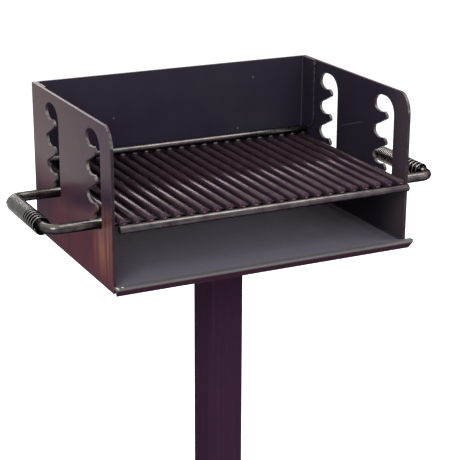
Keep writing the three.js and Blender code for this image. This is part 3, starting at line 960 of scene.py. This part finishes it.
rodRow = buildRodRow()
rodNodes = sorted(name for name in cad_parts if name.startswith("grate_rod_"))
rodSettings = {"chamfer": 0.0005, "turn": (math.pi / 2, 0.0, 0.0)}
crossBarSettings = {**rodSettings, "turn": (0.0, math.pi / 2, 0.0)}


def addBars(name, nodes, thickness, length, finish, values):
    first, last = low(nodes[0]), low(nodes[-1])
    row = {
        "Count": len(nodes),
        "Start": first + (high(nodes[0]) - first) / 2,
        "Pitch": (last - first) / max(1, len(nodes) - 1),
        "Radius": thickness / 2,
        "Length": length,
        "Turn": values["turn"],
        "Finish": finish,
    }
    finishMesh(growMesh(name, rodRow, row, values["chamfer"]), "grate", nodes)


rodSize = high(rodNodes[0]) - low(rodNodes[0])
addBars("grateRods", rodNodes, rodSize.x, rodSize.y, rodSteel, rodSettings)
for node, name in (("front_bar", "frontBar"), ("back_bar", "backBar")):
    barSize = high(node) - low(node)
    addBars(name, [node], barSize.z, barSize.x, barSteel, crossBarSettings)
print("grate bars made")


# Carrier loop: one round bar bent into a long rectangle
def buildBarLoop():
    inputs = {
        "Width": 0.6,
        "Depth": 0.2,
        "Bend": 0.02,
        "Bend Steps": 14,
        "Bar Sides": 32,
        "Bar Radius": 0.006,
        "Centre": vectorSocket,
    }
    tree, given, made = newGeometryTree("barLoop", inputs)
    size = {"Width": given["Width"], "Height": given["Depth"]}
    loop = addNode(tree, "GeometryNodeCurvePrimitiveQuadrilateral", size).outputs["Curve"]
    bends = {"Curve": loop, "Count": given["Bend Steps"], "Radius": given["Bend"], "Limit Radius": True}
    bent = addNode(tree, "GeometryNodeFilletCurve", bends, mode="POLY").outputs["Curve"]
    bar = sweepBar(bent, given["Bar Sides"], given["Bar Radius"])
    placed = addNode(tree, "GeometryNodeTransform", {"Geometry": bar, "Translation": given["Centre"]})
    giveFinish(given, made, placed.outputs["Geometry"])
    return tree


loopSettings = {"bend": 0.019}


def addCarrierLoop(values):
    near, far = low("carrier_loop_left"), high("carrier_loop_right")
    size = far - near
    shape = {
        "Width": size.x - size.z,
        "Depth": size.y - size.z,
        "Bend": values["bend"],
        "Bar Radius": size.z / 2,
        "Centre": (near + far) / 2,
        "Finish": handleSteel,
    }
    loop = growMesh("carrierLoop", buildBarLoop(), shape)
    finishMesh(loop, "grate", ["carrier_loop_left", "carrier_loop_right"])


addCarrierLoop(loopSettings)
print("carrier loop made")


# Spring grip: close turns that spread towards the front end
def buildSpring():
    inputs = {
        "Close Turns": 21.0,
        "Open Turns": 5.0,
        "Steps Per Turn": 32.0,
        "Pitch": 0.0046,
        "Length": 0.133,
        "Growth": 1.5,
        "Coil Radius": 0.0115,
        "Wire Radius": 0.002,
        "Wire Sides": 12,
        "Mirror": 1.0,
        "Rear End": vectorSocket,
    }
    tree, given, made = newGeometryTree("gripSpring", inputs)
    turns = plus(given["Close Turns"], given["Open Turns"])
    line = addNode(tree, "GeometryNodeCurvePrimitiveLine", {"Start": (0, 0, 0), "End": (0, 0, 1)})
    steps = {"Curve": line.outputs["Curve"], "Count": times(turns, given["Steps Per Turn"])}
    points = addNode(tree, "GeometryNodeResampleCurve", steps).outputs["Curve"]
    turn = times(addNode(tree, "GeometryNodeSplineParameter").outputs["Factor"], turns)
    opened = maths("DIVIDE", minus(turn, given["Close Turns"]), given["Open Turns"])
    opened = maths("POWER", maths("MAXIMUM", opened, 0.0), given["Growth"])
    spread = times(minus(given["Length"], times(given["Pitch"], turns)), opened)
    forward = plus(times(given["Pitch"], turn), spread)
    angle = times(turn, 2 * math.pi)
    across = times(maths("COSINE", angle), given["Coil Radius"])
    spot = {
        "X": times(across, given["Mirror"]),
        "Y": times(forward, -1.0),
        "Z": times(maths("SINE", angle), given["Coil Radius"]),
    }
    moved = addNode(tree, "ShaderNodeCombineXYZ", spot).outputs[0]
    moved = vectorMaths("ADD", moved, given["Rear End"])
    bent = {"Geometry": points, "Position": moved}
    coil = addNode(tree, "GeometryNodeSetPosition", bent).outputs["Geometry"]
    wire = sweepBar(coil, given["Wire Sides"], given["Wire Radius"], {"Fill Caps": True})
    # How far out from the coil's axis each point of the wire lies; the wire's material paints shade on the
    # inner side, between the turns
    place = addNode(tree, "GeometryNodeInputPosition").outputs["Position"]
    radial = vectorMaths("SUBTRACT", place, given["Rear End"])
    radial = vectorMaths("MULTIPLY", radial, (1.0, 0.0, 1.0))
    beyond = minus(vectorMaths("LENGTH", radial), given["Coil Radius"])
    crown = {"Geometry": wire, "Name": "crown", "Value": maths("DIVIDE", beyond, given["Wire Radius"])}
    crowned = addNode(tree, "GeometryNodeStoreNamedAttribute", crown, data_type="FLOAT", domain="POINT")
    giveFinish(given, made, crowned.outputs["Geometry"])
    return tree


springSettings = {
    "wireRadius": 0.002,
    "closeTurns": 17.0,
    "openTurns": 6.0,
    "pitch": 0.0046,
    "growth": 1.3,
    "sharpAngle": 60,
}


def addSprings(values):
    tree = buildSpring()
    for side, mirror in (("left", -1.0), ("right", 1.0)):
        node = "grip_spring_" + side
        near, far = low(node), high(node)
        wire = values["wireRadius"]
        shape = {
            "Close Turns": values["closeTurns"],
            "Open Turns": values["openTurns"],
            "Pitch": values["pitch"],
            "Length": far.y - near.y - 2 * wire,
            "Growth": values["growth"],
            "Coil Radius": (far.z - near.z) / 2 - wire,
            "Wire Radius": wire,
            "Mirror": mirror,
            "Rear End": Vector(((near.x + far.x) / 2, far.y - wire, (near.z + far.z) / 2)),
            "Finish": springWire,
        }
        spring = growMesh(side + "GripSpring", tree, shape)
        finishMesh(spring, "grip_" + side, [node], values["sharpAngle"])


addSprings(springSettings)
print("springs wound")

# Hidden hardware keeps its CAD solids
for node in ("thrust_washer", "swivel_spindle"):
    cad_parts[node].data.materials.clear()
    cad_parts[node].data.materials.append(platedSteel)


# Weld blobs in a row, each a little different
blobSettings = {"least": (0.8, 0.8, 0.8), "most": (1.2, 1.2, 1.15), "subdivisions": 2}


def buildBlobRow(values):
    tree, given, made = newGeometryTree("blobRow", {**rowInputs, "Size": vectorSocket, "Seed": 1})
    ball = {"Radius": 1.0, "Subdivisions": values["subdivisions"]}
    blob = addNode(tree, "GeometryNodeMeshIcoSphere", ball).outputs["Mesh"]
    limits = {"Min": values["least"], "Max": values["most"], "Seed": given["Seed"]}
    spread = addNode(tree, "FunctionNodeRandomValue", limits, data_type="FLOAT_VECTOR").outputs["Value"]
    copyInRow(given, made, blob, Scale=vectorMaths("MULTIPLY", spread, given["Size"]))
    return tree


# A rippled weld bead along any path of edges
beadSettings = {
    "stepShare": 0.25,  # of one ripple
    "noiseScale": 160.0,
    "noiseDetail": 2.0,
    "swell": (0.3, 0.7, 0.8, 1.25),
    "sides": 10,
    "sharpAngle": 60,
}


def buildBead(values):
    inputs = {
        "Path": "NodeSocketGeometry",
        "Radius": 0.002,
        "Ripple": 0.002,
        "Ripple Depth": 0.18,
        "Wander": 0.0006,
        "Seed": 1.0,
    }
    tree, given, made = newGeometryTree("weldBead", inputs)
    line = addNode(tree, "GeometryNodeMeshToCurve", {"Mesh": given["Path"]}).outputs["Curve"]
    steps = {"Curve": line, "Length": times(given["Ripple"], values["stepShare"])}
    points = addNode(tree, "GeometryNodeResampleCurve", steps, mode="LENGTH").outputs["Curve"]
    length = addNode(tree, "GeometryNodeSplineParameter").outputs["Length"]
    phase = times(maths("DIVIDE", length, given["Ripple"]), 2 * math.pi)
    wave = times(maths("SINE", phase), given["Ripple Depth"])
    field = {
        "Vector": addNode(tree, "GeometryNodeInputPosition").outputs["Position"],
        "W": given["Seed"],
        "Scale": values["noiseScale"],
        "Detail": values["noiseDetail"],
    }
    uneven = addNode(tree, "ShaderNodeTexNoise", field, noise_dimensions="4D").outputs
    swollen = times(remap(uneven["Fac"], *values["swell"]), plus(wave, 1.0))
    centred = vectorMaths("SUBTRACT", uneven["Color"], (0.5, 0.5, 0.5))
    drift = addNode(tree, "ShaderNodeVectorMath", {0: centred, "Scale": given["Wander"]}, operation="SCALE")
    moved = {"Geometry": points, "Offset": drift.outputs["Vector"]}
    path = addNode(tree, "GeometryNodeSetPosition", moved).outputs["Geometry"]
    bead = sweepBar(path, values["sides"], given["Radius"], {"Scale": swollen, "Fill Caps": True})
    giveFinish(given, made, bead)
    return tree


blobRow = buildBlobRow(blobSettings)
weldBead = buildBead(beadSettings)


def addBlobs(name, body, start, pitch, count, size, seed, finish):
    values = {"Count": count, "Start": start, "Pitch": pitch, "Size": size, "Seed": seed, "Finish": finish}
    finishMesh(growMesh(name, blobRow, values), body)


# paths holds one list of points for each run of weld
def addBeads(name, body, paths, values, finish):
    path = bpy.data.meshes.new(name + "Path")
    corners, edges = [], []
    for points in paths:
        edges += [(len(corners) + i, len(corners) + i + 1) for i in range(len(points) - 1)]
        corners += [tuple(point) for point in points]
    path.from_pydata(corners, edges, [])
    settings = {
        "Radius": values["radius"],
        "Ripple": values["ripple"],
        "Ripple Depth": values["rippleDepth"],
        "Wander": values["wander"],
        "Seed": values["seed"],
        "Finish": finish,
    }
    bead = growMesh(name, weldBead, settings, seed=path)
    finishMesh(bead, body, sharpAngle=beadSettings["sharpAngle"])


# Points round a middle, from one angle on, in the plane of two directions
def arc(middle, radius, across, up, start, step, count):
    angles = [start + step * i for i in range(count)]
    return [middle + radius * (math.cos(angle) * across + math.sin(angle) * up) for angle in angles]


rightward, backward, upright = Vector((1, 0, 0)), Vector((0, 1, 0)), Vector((0, 0, 1))

# Grate welds: every rod to the front bar, to both carrier legs and to the back bar
grateWeldSettings = {
    "frontSize": (0.0040, 0.0026, 0.0022),
    "frontGap": 0.0005,  # in front of the rod's end
    "frontDrop": 0.25,  # of the rod's radius
    "frontSeed": 3,
    "legSize": (0.0026, 0.0052, 0.0020),
    "legSpread": 0.75,  # of the rod's radius
    "legLift": 0.0012,
    "legSeed": 5,
    "backSize": (0.0048, 0.0028, 0.0022),
    "backInset": 0.0008,
    "backLift": 0.0006,
    "backSeed": 9,
}


def addGrateWelds(values):
    first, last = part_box(rodNodes[0]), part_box(rodNodes[-1])
    count = len(rodNodes)
    radius = (first[1].x - first[0].x) / 2
    pitch = (last[0] - first[0]) / (count - 1)
    middle = (first[0] + first[1]) / 2

    def addRow(name, start, size, seed, finish):
        addBlobs(name, "grate", Vector(start), pitch, count, size, seed, finish)

    frontEnd = (middle.x, first[0].y - values["frontGap"], middle.z - radius * values["frontDrop"])
    addRow("frontBarWelds", frontEnd, values["frontSize"], values["frontSeed"], rodSteel)
    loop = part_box("carrier_loop_left")
    legRadius = (loop[1].z - loop[0].z) / 2
    for label, y in (("front", loop[0].y + legRadius), ("rear", loop[1].y - legRadius)):
        for side, word in ((-1, "Left"), (1, "Right")):
            spot = (middle.x + side * radius * values["legSpread"], y, first[0].z + values["legLift"])
            addRow(label + word + "LegWelds", spot, values["legSize"], values["legSeed"] + side, weldMetal)
    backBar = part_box("back_bar")
    spot = (middle.x, backBar[0].y + values["backInset"], first[1].z + values["backLift"])
    addRow("backBarWelds", spot, values["backSize"], values["backSeed"], weldMetal)


addGrateWelds(grateWeldSettings)


# Firebox welds: floor to plates inside, back sheet's flanges and upright corners, lip, mounting plate
seamBead = {"radius": 0.0017, "ripple": 0.0022, "rippleDepth": 0.16, "wander": 0.0010, "seed": 2.0}
flangeBead = {"radius": 0.0009, "ripple": 0.0026, "rippleDepth": 0.30, "wander": 0.0022, "seed": 4.0}
cornerBead = {"radius": 0.0016, "ripple": 0.0022, "rippleDepth": 0.2, "wander": 0.0012, "seed": 6.0}
postBead = {"radius": 0.0030, "ripple": 0.0030, "rippleDepth": 0.16, "wander": 0.0012, "seed": 8.0}
fireboxWeldSettings = {
    "seamInset": 0.0004,
    "seamFront": 0.012,
    "seamEnd": 0.004,
    "flangeInset": 0.0022,
    "flangeLength": 0.124,
    "flangeCorner": 0.022,
    "flangeSteps": 8,
    "flangeTop": 0.002,
    "tackDrop": 0.007,
    "tackSize": (0.0022, 0.0030, 0.0062),
    "tackSeed": 11,
    "cornerInset": (0.0044, 0.0032),  # from the plate's outside, from the back
    "cornerEnd": 0.004,
    "lipTackInsets": (0.003, 0.016),  # left, right
    "lipTackLength": 0.012,
    "lipTackInset": 0.0006,
    "lipTackLift": 0.0014,
    "mountRadius": 0.0024,
    "mountEnd": 0.01,
}


def addFireboxWelds(values):
    left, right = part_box("left_side_plate"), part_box("right_side_plate")
    floor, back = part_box("floor_plate"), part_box("back_plate")
    insideLeft, insideRight = left[1].x, right[0].x
    floorTop, sheetFront = floor[1].z, floor[1].y
    inset, end = values["seamInset"], values["seamEnd"]
    seams = [
        [(x, left[0].y + values["seamFront"], floorTop), (x, sheetFront - end, floorTop)]
        for x in (insideLeft + inset, insideRight - inset)
    ]
    seams.append([(insideLeft + end, sheetFront, floorTop), (insideRight - end, sheetFront, floorTop)])
    addBeads("floorWelds", "firebox", seams, seamBead, enamel)

    flanges = []
    inset, corner, steps = values["flangeInset"], values["flangeCorner"], values["flangeSteps"]
    flangeFront, sheetTop = back[0].y, back[1].z
    flangeSides = (insideLeft + inset, insideRight - inset)
    for x in flangeSides:
        middle = Vector((x, flangeFront + corner, sheetTop - values["flangeLength"] + corner))
        bend = arc(middle, corner, -backward, -upright, 0.0, math.pi / 2 / steps, steps + 1)
        flanges.append([(x, flangeFront, sheetTop - values["flangeTop"])] + bend)
    addBeads("flangeWelds", "firebox", flanges, flangeBead, weldMetal)
    size, seed = values["tackSize"], values["tackSeed"]
    for name, x in zip(("leftFlangeTack", "rightFlangeTack"), flangeSides):
        top = Vector((x, flangeFront, sheetTop - values["tackDrop"]))
        addBlobs(name, "firebox", top, (0, 0, 0), 1, size, seed, weldMetal)

    inset, depth = values["cornerInset"]
    y, end = back[1].y - depth, values["cornerEnd"]
    cornerSides = (left[0].x + inset, right[1].x - inset)
    uprights = [[(x, y, floorTop - end), (x, y, sheetTop - end)] for x in cornerSides]
    addBeads("cornerWelds", "firebox", uprights, cornerBead, enamel)

    fromLeft, fromRight = values["lipTackInsets"]
    y, z = left[0].y + values["lipTackInset"], floorTop + values["lipTackLift"]
    starts = (insideLeft + fromLeft, insideRight - fromRight)
    lipTacks = [[(x, y, z), (x + values["lipTackLength"], y, z)] for x in starts]
    addBeads("lipTacks", "firebox", lipTacks, cornerBead, weldMetal)

    near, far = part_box("swivel_mount_plate")
    under, end = far.z, values["mountEnd"]
    sides = [[(near.x + end, y, under), (far.x - end, y, under)] for y in (near.y, far.y)]
    sides += [[(x, near.y + end, under), (x, far.y - end, under)] for x in (near.x, far.x)]
    mountBead = {**postBead, "radius": values["mountRadius"]}
    addBeads("mountWelds", "firebox", sides, mountBead, enamel)


# Post welds: round its foot, round its head and round the lock nut
postWeldSettings = {
    "corner": 0.006,
    "cornerSteps": 4,
    "overlap": 0.0006,
    "headRadius": 0.0022,
    "nutRadius": 0.0016,
    "nutReach": 1.08,  # of the nut's half height
    "nutSteps": 16,
}


def addPostWelds(values):
    corner, steps, overlap = values["corner"], values["cornerSteps"], values["overlap"]
    inner = high("post_tube").x - corner

    def ring(z):
        points = []
        middles = (inner, inner), (-inner, inner), (-inner, -inner), (inner, -inner)
        for quarter, (x, y) in enumerate(middles):
            start, step = quarter * math.pi / 2, math.pi / 2 / steps
            points += arc(Vector((x, y, z)), corner, rightward, backward, start, step, steps + 1)
        return points + points[:1]

    def addBead(name, points, radius):
        addBeads(name, "post", [points], {**postBead, "radius": radius}, postPaint)

    addBead("postFootWeld", ring(high("base_plate").z + overlap), postBead["radius"])
    addBead("postHeadWeld", ring(low("post_bearing_plate").z - overlap), values["headRadius"])
    near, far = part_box("lock_nut")
    middle = (near + far) / 2
    middle.y = near.y + overlap
    reach, steps = (far.z - near.z) / 2 * values["nutReach"], values["nutSteps"]
    circle = arc(middle, reach, rightward, upright, 0.0, 2 * math.pi / steps, steps + 1)
    addBead("nutWeld", circle, values["nutRadius"])


addFireboxWelds(fireboxWeldSettings)
addPostWelds(postWeldSettings)
print("welds laid")


# Studio: pale floor, white to the camera, and plain soft light
studioSettings = {
    "floorReach": 20.0,
    "floorColour": (0.80, 0.80, 0.80, 1),
    "floorRoughness": 0.9,
    "floorLift": 0.60,  # white added for the camera and for reflections
    "white": (1, 1, 1, 1),
    "ambient": 0.50,
    "lights": {
        "key": {"place": (-2.2, -2.6, 2.8), "turn": (52.0, 0.0, -40.0), "size": (1.6, 1.6), "power": 80.0},
        "fill": {"place": (2.6, -2.2, 1.6), "turn": (76.0, 0.0, 50.0), "size": (2.0, 2.0), "power": 18.0},
        "top": {"place": (1.05, -0.6, 3.0), "turn": (0.0, 0.0, 0.0), "size": (1.7, 1.5), "power": 46.0},
        "back": {"place": (0.2, 2.9, 2.1), "turn": (-65.0, 0.0, 0.0), "size": (1.7, 1.4), "power": 75.0},
    },
}


def seenWhite(tree):
    rays = addNode(tree, "ShaderNodeLightPath").outputs
    shown = maths("MAXIMUM", rays["Is Camera Ray"], rays["Is Glossy Ray"])
    return maths("MAXIMUM", shown, rays["Is Transmission Ray"])


def addFloor(values):
    floor = linked("studioFloor", bpy.data.meshes.new("studioFloor"))
    reach = values["floorReach"]
    corners = [(-reach, -reach, 0), (reach, -reach, 0), (reach, reach, 0), (-reach, reach, 0)]
    floor.data.from_pydata(corners, [], [(0, 1, 2, 3)])
    fixed = {
        "Base_Color": values["floorColour"],
        "Roughness": values["floorRoughness"],
        "Specular_IOR_Level": 0.0,
        "Emission_Color": values["white"],
    }
    material, shader = startMaterial("paleFloor", **fixed)[:2]
    lift = times(seenWhite(material.node_tree), values["floorLift"])
    setInputs(shader, {"Emission Strength": lift})
    floor.data.materials.append(material)


def addWorld(values):
    world = bpy.data.worlds.new("studio")
    scene.world = world
    world.use_nodes = True
    tree = world.node_tree
    strength = between(seenWhite(tree), values["ambient"], 1.0)
    setInputs(tree.nodes["Background"], {"Color": values["white"], "Strength": strength})


def addLights(values):
    for name, lamp in values["lights"].items():
        data = bpy.data.lights.new(name, "AREA")
        data.energy = lamp["power"]
        data.shape = "RECTANGLE"
        data.size, data.size_y = lamp["size"]
        light = bpy.data.objects.new(name, data)
        light.visible_camera = False
        light.location = lamp["place"]
        light.rotation_euler = [math.radians(angle) for angle in lamp["turn"]]
        scene.collection.objects.link(light)


addFloor(studioSettings)
addWorld(studioSettings)
addLights(studioSettings)
scene.view_settings.view_transform = "Standard"
print("studio lit")
